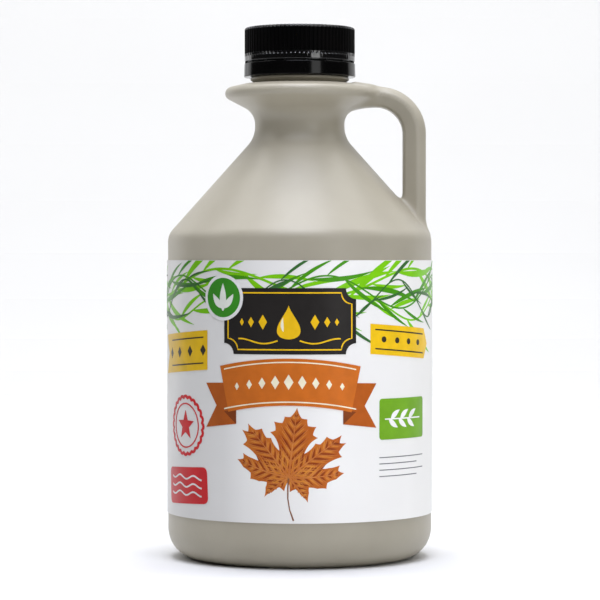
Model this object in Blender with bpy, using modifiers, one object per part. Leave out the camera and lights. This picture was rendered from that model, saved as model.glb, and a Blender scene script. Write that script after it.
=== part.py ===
"""One litre maple syrup jug: a blow-moulded jug with a flared collar and a finger handle, shut by a
black screw cap with its tamper band, and dressed in a wrap-round label.

Metres, +Z up. The jug stands on z = 0 with its axis on the Z axis and its handle towards +X.
"""

from math import atan2, cos, pi, radians, sin, tan

import bmesh
import bpy
from mathutils import Vector

MM = 0.001

# Body
BODY_RADIUS = 50 * MM
FOOT_RADIUS = 39.5 * MM
HEEL_HEIGHT = 11.5 * MM
FOOT_RING_WIDTH = 4 * MM
UNDERSIDE_RISE = 2.5 * MM
UNDERSIDE_STEP_SHARE = 0.8
UNDERSIDE_ROUNDING = 1.5 * MM
SHOULDER_HEIGHT = 122.2 * MM
SHOULDER_ROUNDING = 6.5 * MM

# Waist and collar. The cone would meet the waist at the height of the waist's foot
WAIST_RADIUS = 17 * MM
WAIST_FOOT_HEIGHT = 159.2 * MM
WAIST_FOOT_ROUNDING = 10.5 * MM
WAIST_TOP_HEIGHT = 168.4 * MM
WAIST_TOP_ROUNDING = 7.1 * MM
COLLAR_CORNER_RADIUS = 32.85 * MM
COLLAR_CORNER_HEIGHT = 176.6 * MM
COLLAR_ROUNDING = 2.45 * MM
COLLAR_TOP_RADIUS = 18 * MM
COLLAR_TOP_HEIGHT = 180.9 * MM

# Neck, with a bead between the collar and the band
NECK_RADIUS = 17.7 * MM
NECK_BEAD_RADIUS = 18.7 * MM
NECK_BEAD_BOTTOM = 181.4 * MM
NECK_BEAD_TOP = 182.2 * MM
NECK_TOP = 198 * MM
NECK_ROUNDING = 0.8 * MM

# Label
LABEL_BOTTOM = 17.3 * MM
LABEL_TOP = 112.6 * MM
LABEL_THICKNESS = 0.3 * MM
LABEL_PROUD = 0.35 * MM

# Cap and tamper band. The grooves' widths are shares of the ribs' pitch
CAP_RADIUS = 20.9 * MM
CAP_TOP = 200.6 * MM
CAP_EDGE_ROUNDING = 0.8 * MM
CAP_SKIRT_BOTTOM = 187.8 * MM
CAP_BORE_RADIUS = 18.1 * MM
CAP_LIP_RADIUS = 20.1 * MM
CAP_LIP_BOTTOM = 185.2 * MM
RIB_COUNT = 80
RIB_DEPTH = 0.45 * MM
RIB_BOTTOM = 190 * MM
GROOVE_MOUTH = 0.76
GROOVE_FLOOR = 0.28
CUTTER_REACH = 20 * MM
CUTTER_RISE = 1 * MM
BAND_RADIUS_TOP = 21 * MM
BAND_RADIUS_BOTTOM = 21.15 * MM
BAND_TOP = 187.1 * MM
BAND_BOTTOM = 182.5 * MM
BAND_EDGE_ROUNDING = 0.3 * MM

# Handle
HANDLE_X = 43.45 * MM
HANDLE_ARM_HEIGHT = 174.4 * MM
HANDLE_ARM_RISE = 0.6 * MM
HANDLE_BEND_RADIUS = 14 * MM
HANDLE_ARM_START = 19 * MM
HANDLE_FOOT_HEIGHT = 124 * MM
HANDLE_THICKNESS = 8.66 * MM
HANDLE_DEPTH = 15 * MM
HANDLE_RIDGE_OFFSET = 1.2 * MM
HANDLE_FLANK_DEPTH = 9 * MM
HANDLE_ROUNDING = 2.2 * MM
HANDLE_RIDGE_ROUNDING = 1 * MM
HANDLE_ARM_SCALE = 0.87

# Touching pieces
GAP = 0.3 * MM

# Mesh fineness
TURNED_STEPS = 64
BEND_STEPS = 9
SHARPEST_SMOOTH_EDGE = radians(30)


def rounded(corners, closed=False):
    """Points along the outline through the corners, each (a, b, radius, steps), with the corner rounded."""
    points = []
    last = len(corners) - 1
    for index, (a, b, radius, steps) in enumerate(corners):
        corner = Vector((a, b))
        if radius == 0 or (not closed and index in (0, last)):
            points.append(corner)
            continue
        before = Vector(corners[index - 1][:2]) - corner
        after = Vector(corners[(index + 1) % len(corners)][:2]) - corner
        half_angle = before.angle(after) / 2
        reach = radius / tan(half_angle)
        centre = corner + (before.normalized() + after.normalized()).normalized() * radius / sin(half_angle)
        start = corner + before.normalized() * reach - centre
        end = corner + after.normalized() * reach - centre
        first = atan2(start.y, start.x)
        sweep = (atan2(end.y, end.x) - first + pi) % (2 * pi) - pi
        for step in range(steps + 1):
            angle = first + sweep * step / steps
            points.append(centre + Vector((cos(angle), sin(angle))) * radius)
    return points


def heel_points(steps=8):
    """The quarter ellipse from the body's side, down and in to the foot."""
    turn = [pi / 2 * step / steps for step in range(steps + 1)]
    return [
        Vector((
            FOOT_RADIUS + (BODY_RADIUS - FOOT_RADIUS) * cos(angle),
            HEEL_HEIGHT * (1 - sin(angle)),
        ))
        for angle in turn
    ]


def plain_material(name, colour, roughness):
    """A Principled material with one colour, for a plastic or paper surface."""
    material = bpy.data.materials.new(name)
    material.use_nodes = True
    shader = material.node_tree.nodes["Principled BSDF"]
    shader.inputs["Base Color"].default_value = (*colour, 1)
    shader.inputs["Roughness"].default_value = roughness
    shader.inputs["Metallic"].default_value = 0
    material.diffuse_color = (*colour, 1)
    return material


def new_object(name, mesh, collection):
    obj = bpy.data.objects.new(name, mesh)
    collection.objects.link(obj)
    return obj


def turned(name, outline, collection, steps=TURNED_STEPS):
    """A solid of revolution: the outline, in (radius, height), swept round Z by a Screw modifier."""
    mesh = bpy.data.meshes.new(name)
    shape = bmesh.new()
    on_outline = [shape.verts.new((radius, 0, height)) for radius, height in outline]
    for upper, lower in zip(on_outline, on_outline[1:]):
        shape.edges.new((upper, lower))
    if outline[0] != outline[-1] and outline[0].x > 0:
        shape.edges.new((on_outline[-1], on_outline[0]))
    shape.to_mesh(mesh)
    shape.free()
    obj = new_object(name, mesh, collection)
    screw = obj.modifiers.new("turn", "SCREW")
    screw.steps = steps
    screw.render_steps = steps
    screw.use_merge_vertices = True
    screw.merge_threshold = 0.01 * MM
    return obj


def mesh_from_curve(name, curve, collection):
    """The mesh of a curve object with its caps welded on, in the curve's place. The curve is removed."""
    graph = bpy.context.evaluated_depsgraph_get()
    graph.update()
    mesh = bpy.data.meshes.new_from_object(curve.evaluated_get(graph))
    shape = bmesh.new()
    shape.from_mesh(mesh)
    bmesh.ops.remove_doubles(shape, verts=shape.verts, dist=0.001 * MM)
    bmesh.ops.recalc_face_normals(shape, faces=shape.faces)
    shape.to_mesh(mesh)
    shape.free()
    obj = new_object(name, mesh, collection)
    obj.matrix_world = curve.matrix_world.copy()
    bpy.data.objects.remove(curve)
    return obj


def boolean(target, cutter, operation):
    """Joins or cuts the target with the cutter, which then only shows as a wire."""
    modifier = target.modifiers.new(cutter.name, "BOOLEAN")
    modifier.operation = operation
    modifier.object = cutter
    cutter.hide_render = True
    cutter.display_type = "WIRE"


def add_closed_spline(curve, points):
    spline = curve.splines.new("POLY")
    spline.points.add(len(points) - 1)
    for place, (x, y) in zip(spline.points, points):
        place.co = (x, y, 0, 1)
    spline.use_cyclic_u = True


def handle(collection):
    """The handle's solid: its section swept along the arm, the bend and the grip, in the XZ plane."""
    half_thickness = HANDLE_THICKNESS / 2
    upper_half = [
        (half_thickness, HANDLE_FLANK_DEPTH / 2, HANDLE_ROUNDING, 2),
        (HANDLE_RIDGE_OFFSET, HANDLE_DEPTH / 2, HANDLE_RIDGE_ROUNDING, 2),
        (-half_thickness, HANDLE_FLANK_DEPTH / 2, HANDLE_ROUNDING, 2),
    ]
    lower_half = [(u, -v, radius, steps) for u, v, radius, steps in reversed(upper_half)]
    section_curve = bpy.data.curves.new("handle_section", "CURVE")
    section_curve.dimensions = "2D"
    section_curve.fill_mode = "NONE"
    add_closed_spline(section_curve, rounded(upper_half + lower_half, closed=True))
    section = new_object("handle_section", section_curve, collection)
    section.hide_render = True
    section.display_type = "WIRE"

    bend_x = HANDLE_X - HANDLE_BEND_RADIUS
    bend_z = HANDLE_ARM_HEIGHT - HANDLE_BEND_RADIUS
    path = [(HANDLE_ARM_START, HANDLE_ARM_HEIGHT + HANDLE_ARM_RISE, HANDLE_ARM_SCALE)]
    for step in range(BEND_STEPS + 1):
        share = step / BEND_STEPS
        angle = pi / 2 * (1 - share)
        scale = HANDLE_ARM_SCALE + (1 - HANDLE_ARM_SCALE) * cos(angle)
        path.append((
            bend_x + HANDLE_BEND_RADIUS * cos(angle),
            bend_z + HANDLE_BEND_RADIUS * sin(angle),
            scale,
        ))
    path.append((HANDLE_X, HANDLE_FOOT_HEIGHT, 1))

    curve = bpy.data.curves.new("handle_path", "CURVE")
    curve.dimensions = "2D"
    curve.fill_mode = "NONE"
    curve.bevel_mode = "OBJECT"
    curve.bevel_object = section
    curve.use_fill_caps = True
    spline = curve.splines.new("POLY")
    spline.points.add(len(path) - 1)
    for place, (x, z, scale) in zip(spline.points, path):
        place.co = (x, z, 0, 1)
        place.radius = scale
    swept = new_object("handle_path", curve, collection)
    swept.rotation_euler.x = pi / 2
    bpy.context.view_layer.update()
    return mesh_from_curve("handle", swept, collection)


def jug(parts, helpers):
    """The moulded jug: body, cone, waist, collar, neck and handle in one solid."""
    panel_radius = BODY_RADIUS + LABEL_PROUD - LABEL_THICKNESS - GAP
    ring_inside = FOOT_RADIUS - FOOT_RING_WIDTH
    upper = rounded([
        (0, NECK_TOP, 0, 0),
        (NECK_RADIUS, NECK_TOP, NECK_ROUNDING, 2),
        (NECK_RADIUS, NECK_BEAD_TOP, 0, 0),
        (NECK_BEAD_RADIUS, NECK_BEAD_TOP, 0, 0),
        (NECK_BEAD_RADIUS, NECK_BEAD_BOTTOM, 0, 0),
        (NECK_RADIUS, NECK_BEAD_BOTTOM, 0, 0),
        (NECK_RADIUS, COLLAR_TOP_HEIGHT, 0, 0),
        (COLLAR_TOP_RADIUS, COLLAR_TOP_HEIGHT, 0, 0),
        (COLLAR_CORNER_RADIUS, COLLAR_CORNER_HEIGHT, COLLAR_ROUNDING, 6),
        (WAIST_RADIUS, WAIST_TOP_HEIGHT, WAIST_TOP_ROUNDING, 5),
        (WAIST_RADIUS, WAIST_FOOT_HEIGHT, WAIST_FOOT_ROUNDING, 4),
        (BODY_RADIUS, SHOULDER_HEIGHT, SHOULDER_ROUNDING, 4),
        (BODY_RADIUS, LABEL_TOP + GAP, 0, 0),
    ])
    panel = [
        Vector((panel_radius, LABEL_TOP + GAP)),
        Vector((panel_radius, LABEL_BOTTOM - GAP)),
        Vector((BODY_RADIUS, LABEL_BOTTOM - GAP)),
    ]
    underside = rounded([
        (ring_inside, 0, 0, 0),
        (ring_inside - UNDERSIDE_RISE, UNDERSIDE_RISE * UNDERSIDE_STEP_SHARE, UNDERSIDE_ROUNDING, 2),
        (0, UNDERSIDE_RISE, 0, 0),
    ])
    obj = turned("jug", upper + panel + heel_points() + underside, parts)
    boolean(obj, handle(helpers), "UNION")
    obj.data.materials.append(plain_material("jug_plastic", (0.49, 0.46, 0.40), 0.42))
    return obj


def rib_valleys(helpers):
    """What is cut from the cap's blank to leave its ribs: a ring whose inner edge is toothed."""
    outside = CAP_RADIUS + CUTTER_REACH
    circle = [
        (outside * cos(2 * pi * step / RIB_COUNT), outside * sin(2 * pi * step / RIB_COUNT))
        for step in range(RIB_COUNT)
    ]
    crest = CAP_RADIUS + RIB_DEPTH
    root = CAP_RADIUS - RIB_DEPTH
    shape_of_tooth = [
        (-GROOVE_MOUTH / 2, crest),
        (-GROOVE_FLOOR / 2, root),
        (GROOVE_FLOOR / 2, root),
        (GROOVE_MOUTH / 2, crest),
    ]
    teeth = []
    for tooth in range(RIB_COUNT):
        for offset, radius in shape_of_tooth:
            angle = 2 * pi * (tooth + offset) / RIB_COUNT
            teeth.append((radius * cos(angle), radius * sin(angle)))
    height = CAP_TOP + CUTTER_RISE - RIB_BOTTOM
    curve = bpy.data.curves.new("rib_outline", "CURVE")
    curve.dimensions = "2D"
    curve.fill_mode = "BOTH"
    curve.extrude = height / 2
    add_closed_spline(curve, circle)
    add_closed_spline(curve, teeth)
    outline = new_object("rib_outline", curve, helpers)
    outline.location.z = RIB_BOTTOM + height / 2
    bpy.context.view_layer.update()
    return mesh_from_curve("rib_valleys", outline, helpers)


def cap(parts, helpers):
    """The screw cap: ribbed above, a smooth ring below, and a lip that reaches down inside the band."""
    bore_top = NECK_TOP + GAP
    outline = rounded([
        (0, CAP_TOP, 0, 0),
        (CAP_RADIUS, CAP_TOP, CAP_EDGE_ROUNDING, 3),
        (CAP_RADIUS, CAP_SKIRT_BOTTOM, 0, 0),
        (CAP_LIP_RADIUS, CAP_SKIRT_BOTTOM, 0, 0),
        (CAP_LIP_RADIUS, CAP_LIP_BOTTOM, 0, 0),
        (CAP_BORE_RADIUS, CAP_LIP_BOTTOM, 0, 0),
        (CAP_BORE_RADIUS, bore_top, 0, 0),
        (0, bore_top, 0, 0),
    ])
    obj = turned("cap", outline, parts, RIB_COUNT)
    boolean(obj, rib_valleys(helpers), "DIFFERENCE")
    obj.data.materials.append(plain_material("cap_plastic", (0.006, 0.006, 0.006), 0.3))
    return obj


def tamper_band(parts):
    """The ring that stays on the neck when the cap is first turned."""
    outline = rounded([
        (BAND_RADIUS_TOP, BAND_TOP, BAND_EDGE_ROUNDING, 2),
        (BAND_RADIUS_BOTTOM, BAND_BOTTOM, BAND_EDGE_ROUNDING, 2),
        (CAP_BORE_RADIUS, BAND_BOTTOM, 0, 0),
        (CAP_BORE_RADIUS, CAP_LIP_BOTTOM - GAP, 0, 0),
        (CAP_LIP_RADIUS + GAP, CAP_LIP_BOTTOM - GAP, 0, 0),
        (CAP_LIP_RADIUS + GAP, BAND_TOP, 0, 0),
    ], closed=True)
    obj = turned("tamper_band", outline, parts)
    obj.data.materials.append(plain_material("band_plastic", (0.007, 0.007, 0.007), 0.35))
    return obj


def label(parts):
    """The wrap-round label, a thin sleeve in the shallow panel that the body keeps for it."""
    outer = BODY_RADIUS + LABEL_PROUD
    inner = outer - LABEL_THICKNESS
    outline = [
        Vector((outer, LABEL_TOP)),
        Vector((outer, LABEL_BOTTOM)),
        Vector((inner, LABEL_BOTTOM)),
        Vector((inner, LABEL_TOP)),
    ]
    obj = turned("label", outline, parts)
    obj.data.materials.append(plain_material("label_film", (0.86, 0.86, 0.86), 0.4))
    return obj


def shade_round(obj):
    """Takes the object's modifiers into its mesh, shaded smooth but for its true corners."""
    graph = bpy.context.evaluated_depsgraph_get()
    graph.update()
    mesh = bpy.data.meshes.new_from_object(obj.evaluated_get(graph))
    obj.modifiers.clear()
    obj.data = mesh
    mesh.shade_smooth()
    mesh.set_sharp_from_angle(angle=SHARPEST_SMOOTH_EDGE)


def main():
    for obj in list(bpy.data.objects):
        bpy.data.objects.remove(obj)
    parts = bpy.data.collections.new("maple_syrup_jug")
    helpers = bpy.data.collections.new("helpers")
    bpy.context.scene.collection.children.link(parts)
    bpy.context.scene.collection.children.link(helpers)
    jug(parts, helpers)
    cap(parts, helpers)
    tamper_band(parts)
    label(parts)
    for obj in parts.objects:
        shade_round(obj)


main()
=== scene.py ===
from math import atan2, ceil, cos, degrees, pi, radians, sin, tan

import bmesh
import bpy
import numpy as np
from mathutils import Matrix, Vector


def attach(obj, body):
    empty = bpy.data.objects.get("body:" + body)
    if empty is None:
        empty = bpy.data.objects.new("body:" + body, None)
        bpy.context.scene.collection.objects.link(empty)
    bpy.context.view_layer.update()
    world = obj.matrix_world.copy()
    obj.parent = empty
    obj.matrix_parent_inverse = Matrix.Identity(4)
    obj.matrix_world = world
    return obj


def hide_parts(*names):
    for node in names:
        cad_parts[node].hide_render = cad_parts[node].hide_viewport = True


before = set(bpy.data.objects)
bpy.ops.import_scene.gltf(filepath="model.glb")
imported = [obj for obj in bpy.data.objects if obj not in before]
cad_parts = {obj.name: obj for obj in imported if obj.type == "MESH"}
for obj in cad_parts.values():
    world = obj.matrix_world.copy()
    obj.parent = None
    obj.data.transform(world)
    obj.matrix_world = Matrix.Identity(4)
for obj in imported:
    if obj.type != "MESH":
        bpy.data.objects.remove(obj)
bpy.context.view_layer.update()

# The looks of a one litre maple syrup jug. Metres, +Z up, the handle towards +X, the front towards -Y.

MM = 0.001

# Sizes that the solids have
BODY_RADIUS = 50 * MM
FOOT_RADIUS = 39.5 * MM
HEEL_HEIGHT = 11.5 * MM
FOOT_RING_WIDTH = 4 * MM
FOOT_RING_ROUNDING = 1 * MM
UNDERSIDE_RISE = 2.5 * MM
UNDERSIDE_STEP_SHARE = 0.8
UNDERSIDE_ROUNDING = 1.5 * MM
SHOULDER_HEIGHT = 122.2 * MM
SHOULDER_ROUNDING = 6.5 * MM
WAIST_RADIUS = 17 * MM
WAIST_FOOT_HEIGHT = 159.2 * MM
WAIST_FOOT_ROUNDING = 10.5 * MM
WAIST_TOP_HEIGHT = 168.4 * MM
WAIST_TOP_ROUNDING = 7.1 * MM
COLLAR_CORNER_RADIUS = 32.85 * MM
COLLAR_CORNER_HEIGHT = 176.6 * MM
COLLAR_ROUNDING = 2.45 * MM
NECK_RADIUS = 17.7 * MM
NECK_BEAD_RADIUS = 18.7 * MM
NECK_TOP = 198 * MM
NECK_ROUNDING = 0.8 * MM
LABEL_BOTTOM = 17.3 * MM
LABEL_TOP = 112.6 * MM
LABEL_RADIUS = 50.35 * MM
LABEL_INNER_RADIUS = 50.05 * MM
CAP_RADIUS = 20.9 * MM
CAP_TOP = 200.6 * MM
CAP_EDGE_ROUNDING = 0.8 * MM
CAP_SKIRT_BOTTOM = 187.8 * MM
CAP_BORE_RADIUS = 18.1 * MM
CAP_LIP_RADIUS = 20.1 * MM
CAP_LIP_BOTTOM = 185.2 * MM
RIB_COUNT = 80
RIB_DEPTH = 0.45 * MM
RIB_BOTTOM = 190 * MM
BAND_RADIUS_TOP = 21 * MM
BAND_RADIUS_BOTTOM = 21.15 * MM
BAND_TOP = 187.1 * MM
BAND_EDGE_ROUNDING = 0.3 * MM
HANDLE_X = 43.45 * MM
HANDLE_ARM_HEIGHT = 174.4 * MM
HANDLE_ARM_RISE = 0.6 * MM
HANDLE_BEND_RADIUS = 14 * MM
HANDLE_ARM_START = 19 * MM
HANDLE_FOOT_HEIGHT = 124 * MM
HANDLE_THICKNESS = 8.66 * MM
HANDLE_DEPTH = 15 * MM
HANDLE_RIDGE_OFFSET = 1.2 * MM
HANDLE_FLANK_DEPTH = 9 * MM
HANDLE_ROUNDING = 2.2 * MM
HANDLE_ARM_SCALE = 0.87
GAP = 0.3 * MM

# Sizes that are a little other than the solids'
NECK_BEAD_BOTTOM = 180.85 * MM
NECK_BEAD_TOP = 181.65 * MM
BAND_BOTTOM = 181.95 * MM
HANDLE_RIDGE_ROUNDING = 0.7 * MM

# Sizes that only the fine surfaces have
COLLAR_FLAT_RADIUS = 21.3 * MM
COLLAR_FLAT_HEIGHT = 179.35 * MM
COLLAR_FLAT_ROUNDING = 0.8 * MM
MOAT_RADIUS = 20.2 * MM
MOAT_DEPTH = 1 * MM
MOAT_ROUNDING = 0.4 * MM
NECK_BEAD_TAPER = 2.6 * MM
NECK_BEAD_ROUNDING = 0.2 * MM
JUG_VOXEL = 0.69 * MM
JUG_CUT_HEIGHT = 105 * MM
BLANK_OVERLAP = 6 * MM
BLEND = 3 * MM
ARM_BLEND = 4.5 * MM
PROBE = 0.02 * MM
WELD = 0.001 * MM
SHARP_ANGLE = radians(35)


# Camera

CAMERA_DISTANCE = 1.0
CAMERA_HEIGHT = 113.4 * MM
CAMERA_PITCH = radians(0.915)
CAMERA_LENS = 157.8


def add_camera():
    data = bpy.data.cameras.new("camera")
    data.lens = CAMERA_LENS
    data.clip_start = 0.05
    camera = bpy.data.objects.new("camera", data)
    camera.location = (0.1 * MM, -CAMERA_DISTANCE, CAMERA_HEIGHT)
    camera.rotation_euler = (pi / 2 - CAMERA_PITCH, 0, 0)
    bpy.context.collection.objects.link(camera)
    bpy.context.scene.camera = camera


# Studio

STUDIO_MIDDLE = (0, 0, 0.12)
WHITE = (1, 1, 1)
COOL_WHITE = (0.97, 1.0, 1.12)
WORLD_STRENGTH = 0.03
# The softboxes that face the jug: (name, place, size, brightness, colour)
SOFTBOXES = (
    ("key", (0.56, -0.84, 0.36), (0.34, 0.5), 3.0, WHITE),
    ("top", (0.0, 0.0, 1.1), (0.5, 0.5), 5.3, COOL_WHITE),
    ("top_front", (0.0, -0.5, 1.12), (0.7, 0.4), 7.5, COOL_WHITE),
    ("high_front", (0.1, -0.85, 0.9), (0.9, 0.3), 2.3, COOL_WHITE),
    ("left_rear", (-0.85, 0.75, 0.4), (0.45, 1.0), 1.0, WHITE),
    ("right_rear", (0.85, 0.75, 0.4), (0.45, 1.0), 0.7, WHITE),
    ("right_side", (0.95, 0.1, 0.95), (0.5, 0.7), 2.3, WHITE),
    ("left_side", (-0.95, 0.1, 0.95), (0.5, 0.7), 2.1, WHITE),
)


def add_softbox(name, place, target, size, brightness, colour):
    """A rectangular softbox at a place, facing the target. At brightness 1 its own face shows as white."""
    data = bpy.data.lights.new(name, "AREA")
    data.shape = "RECTANGLE"
    data.size, data.size_y = size
    data.energy = brightness * pi * data.size * data.size_y
    data.color = colour
    light = bpy.data.objects.new(name, data)
    light.location = place
    light.rotation_euler = (Vector(target) - Vector(place)).to_track_quat("-Z", "Y").to_euler()
    bpy.context.collection.objects.link(light)


def add_sweep():
    """The floor, curved up into the backdrop."""
    half_width = 3.0
    front, bend, wall, top = -2.2, 1.0, 1.0, 3.2
    steps = 16
    outline = [(front, 0)]
    for step in range(steps + 1):
        angle = pi / 2 * step / steps
        outline.append((bend + wall * sin(angle), wall * (1 - cos(angle))))
    outline.append((bend + wall, top))
    shape = bmesh.new()
    left = [shape.verts.new((-half_width, y, z)) for y, z in outline]
    right = [shape.verts.new((half_width, y, z)) for y, z in outline]
    for index in range(len(outline) - 1):
        shape.faces.new((left[index], right[index], right[index + 1], left[index + 1]))
    sweep = mesh_object("sweep", shape)
    sweep.data.materials.append(sweep_material())


def add_world():
    world = bpy.data.worlds.new("studio")
    world.use_nodes = True
    backlight = world.node_tree.nodes["Background"]
    backlight.inputs["Color"].default_value = (*WHITE, 1)
    backlight.inputs["Strength"].default_value = WORLD_STRENGTH
    bpy.context.scene.world = world


def add_studio():
    add_world()
    add_sweep()
    for name, place, size, brightness, colour in SOFTBOXES:
        add_softbox(name, place, STUDIO_MIDDLE, size, brightness, colour)
    add_softbox("backdrop", (0, 0.5, 1.9), (0, 1.9, 0.6), (2.4, 0.6), 10.0, WHITE)


# Mesh helpers

def mesh_object(name, shape):
    """An object from a bmesh, which is freed."""
    mesh = bpy.data.meshes.new(name)
    shape.to_mesh(mesh)
    shape.free()
    obj = bpy.data.objects.new(name, mesh)
    bpy.context.collection.objects.link(obj)
    return obj


def object_from(name, points, faces):
    mesh = bpy.data.meshes.new(name)
    mesh.from_pydata([tuple(point) for point in points], [], faces)
    mesh.validate()
    obj = bpy.data.objects.new(name, mesh)
    bpy.context.collection.objects.link(obj)
    return obj


def cut(shape, place, outward, **settings):
    """Cuts a bmesh along a plane and returns the cut."""
    geometry = shape.verts[:] + shape.edges[:] + shape.faces[:]
    made = bmesh.ops.bisect_plane(shape, geom=geometry, plane_co=place, plane_no=outward, **settings)
    return made["geom_cut"]


def shade(obj, angle=SHARP_ANGLE):
    obj.data.shade_smooth()
    obj.data.set_sharp_from_angle(angle=angle)


def dress(obj, material, replaced=None):
    """Gives a piece its material, hangs it on the root body and hides the CAD part that it replaces, if any.
    """
    obj.data.materials.clear()
    obj.data.materials.append(material)
    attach(obj, "root")
    if replaced:
        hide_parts(replaced)
    return obj


def rounded(corners, closed=False):
    """Points along the outline through the corners, each (a, b, radius, steps), with the corner rounded."""
    points = []
    last = len(corners) - 1
    for index, (a, b, radius, steps) in enumerate(corners):
        corner = Vector((a, b))
        if radius == 0 or (not closed and index in (0, last)):
            points.append(corner)
            continue
        before = Vector(corners[index - 1][:2]) - corner
        after = Vector(corners[(index + 1) % len(corners)][:2]) - corner
        half_angle = before.angle(after) / 2
        reach = radius / tan(half_angle)
        centre = corner + (before.normalized() + after.normalized()).normalized() * radius / sin(half_angle)
        start = corner + before.normalized() * reach - centre
        end = corner + after.normalized() * reach - centre
        first = atan2(start.y, start.x)
        sweep = (atan2(end.y, end.x) - first + pi) % (2 * pi) - pi
        for step in range(steps + 1):
            angle = first + sweep * step / steps
            points.append(centre + Vector((cos(angle), sin(angle))) * radius)
    return points


def turned(name, outline, steps, radius_at=None, closed=False):
    """A solid of revolution from an outline in (radius, height), run down its outer side.

    radius_at(radius, height, angle, index) may change the radius. A point on the axis becomes one vertex.
    """
    points, rows, faces = [], [], []
    angles = [2 * pi * step / steps for step in range(steps)]
    for index, (radius, height) in enumerate(outline):
        if radius < 1e-7:
            rows.append([len(points)] * steps)
            points.append((0, 0, height))
            continue
        rows.append(list(range(len(points), len(points) + steps)))
        for angle in angles:
            r = radius_at(radius, height, angle, index) if radius_at else radius
            points.append((r * cos(angle), r * sin(angle), height))
    pairs = list(zip(rows, rows[1:]))
    if closed:
        pairs.append((rows[-1], rows[0]))
    for upper, lower in pairs:
        for step in range(steps):
            after = (step + 1) % steps
            corners = [upper[step], lower[step], lower[after], upper[after]]
            face = [corner for place, corner in enumerate(corners) if corner not in corners[:place]]
            if len(face) > 2:
                faces.append(face)
    return object_from(name, points, faces)


# Materials. A pair of tones is the darker and the lighter linear colour of a mottled surface

SWEEP_TONES = (0.73, 0.73, 0.73), (0.75, 0.75, 0.75)
JUG_TONES = (0.366, 0.334, 0.258), (0.392, 0.359, 0.280)
BLACK_TONES = (0.0015, 0.0015, 0.0015), (0.0030, 0.0026, 0.0026)
FILM_TONES = (0.92, 0.91, 0.88), (0.94, 0.93, 0.90)
PARTING_REACH = 0.35 * MM
PARTING_HEIGHT = 0.12 * MM
# How the cap shines: (height in mm, specular level, roughness). Its ring is glossy and its ribs are matt
CAP_SHEEN = (
    (187.5, 0.02, 0.6), (187.8, 0.85, 0.1), (190.45, 0.85, 0.1), (190.8, 0.02, 0.5),
    (199.5, 0.02, 0.5), (199.8, 0.9, 0.25),
)
# Painted shade on the label's film and inks along X, darker towards the left and at the right edge, in place
# of light falling off: (place in mm, share)
LABEL_PAINTED_SHADE = ((-50, 0.64), (-28, 0.69), (-20, 0.79), (0, 0.92), (12, 1.0), (40, 1.0), (50, 0.88))


def new_material(name):
    """A material, its node maker, its linker and its shader."""
    material = bpy.data.materials.new(name)
    material.use_nodes = True
    tree = material.node_tree

    def node(kind, **settings):
        made = tree.nodes.new(kind)
        for key, value in settings.items():
            if key in made.inputs:
                made.inputs[key].default_value = value
            else:
                setattr(made, key, value)
        return made

    return material, node, tree.links.new, tree.nodes["Principled BSDF"]


def srgb(red, green, blue):
    """Linear colour of a screen colour, 0 to 255."""
    return tuple(
        value / 255 / 12.92 if value <= 10 else ((value / 255 + 0.055) / 1.055) ** 2.4
        for value in (red, green, blue)
    )


def noise_in(node, link, scale, detail):
    """A noise in object space."""
    place = node("ShaderNodeTexCoord")
    noise = node("ShaderNodeTexNoise", Scale=scale, Detail=detail)
    link(place.outputs["Object"], noise.inputs["Vector"])
    return noise.outputs["Fac"]


def place_along(node, link, axis):
    """The place along an axis of object space."""
    place = node("ShaderNodeTexCoord")
    axes = node("ShaderNodeSeparateXYZ")
    link(place.outputs["Object"], axes.inputs["Vector"])
    return axes.outputs[axis]


def mottled(node, link, scale, detail, low, high):
    """The colour output of a soft noise between two colours."""
    ramp = node("ShaderNodeValToRGB")
    ramp.color_ramp.elements[0].position = 0.35
    ramp.color_ramp.elements[1].position = 0.65
    ramp.color_ramp.elements[0].color = (*low, 1)
    ramp.color_ramp.elements[1].color = (*high, 1)
    link(noise_in(node, link, scale, detail), ramp.inputs["Fac"])
    return ramp.outputs["Color"]


def grained(node, link, shader, scale, detail, strength, distance):
    """A fine noise bump on the shader. Returns the noise."""
    noise = noise_in(node, link, scale, detail)
    bump = node("ShaderNodeBump", Strength=strength, Distance=distance)
    link(noise, bump.inputs["Height"])
    link(bump.outputs["Normal"], shader.inputs["Normal"])
    return noise


def spread(node, link, source, low, high, socket):
    """Sends a 0 to 1 value to a socket, mapped to a range."""
    span = node("ShaderNodeMapRange")
    span.inputs["To Min"].default_value = low
    span.inputs["To Max"].default_value = high
    link(source, span.inputs["Value"])
    link(span.outputs["Result"], socket)


def ramp_along(node, link, axis, low, high, stops):
    """A colour that changes along an axis of object space, from stops of (place in mm, colour)."""
    span = node("ShaderNodeMapRange")
    span.inputs["From Min"].default_value = low
    span.inputs["From Max"].default_value = high
    ramp = node("ShaderNodeValToRGB")
    elements = ramp.color_ramp.elements
    elements.remove(elements[1])
    for number, (along, colour) in enumerate(stops):
        share = (along * MM - low) / (high - low)
        element = elements.new(share) if number else elements[0]
        element.position = share
        element.color = (*colour, 1)
    link(place_along(node, link, axis), span.inputs["Value"])
    link(span.outputs["Result"], ramp.inputs["Fac"])
    return ramp.outputs["Color"]


def sweep_material():
    material, node, link, shader = new_material("sweep_paper")
    shader.inputs["Roughness"].default_value = 0.9
    link(mottled(node, link, 2.0, 2.0, *SWEEP_TONES), shader.inputs["Base Color"])
    return material


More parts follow.
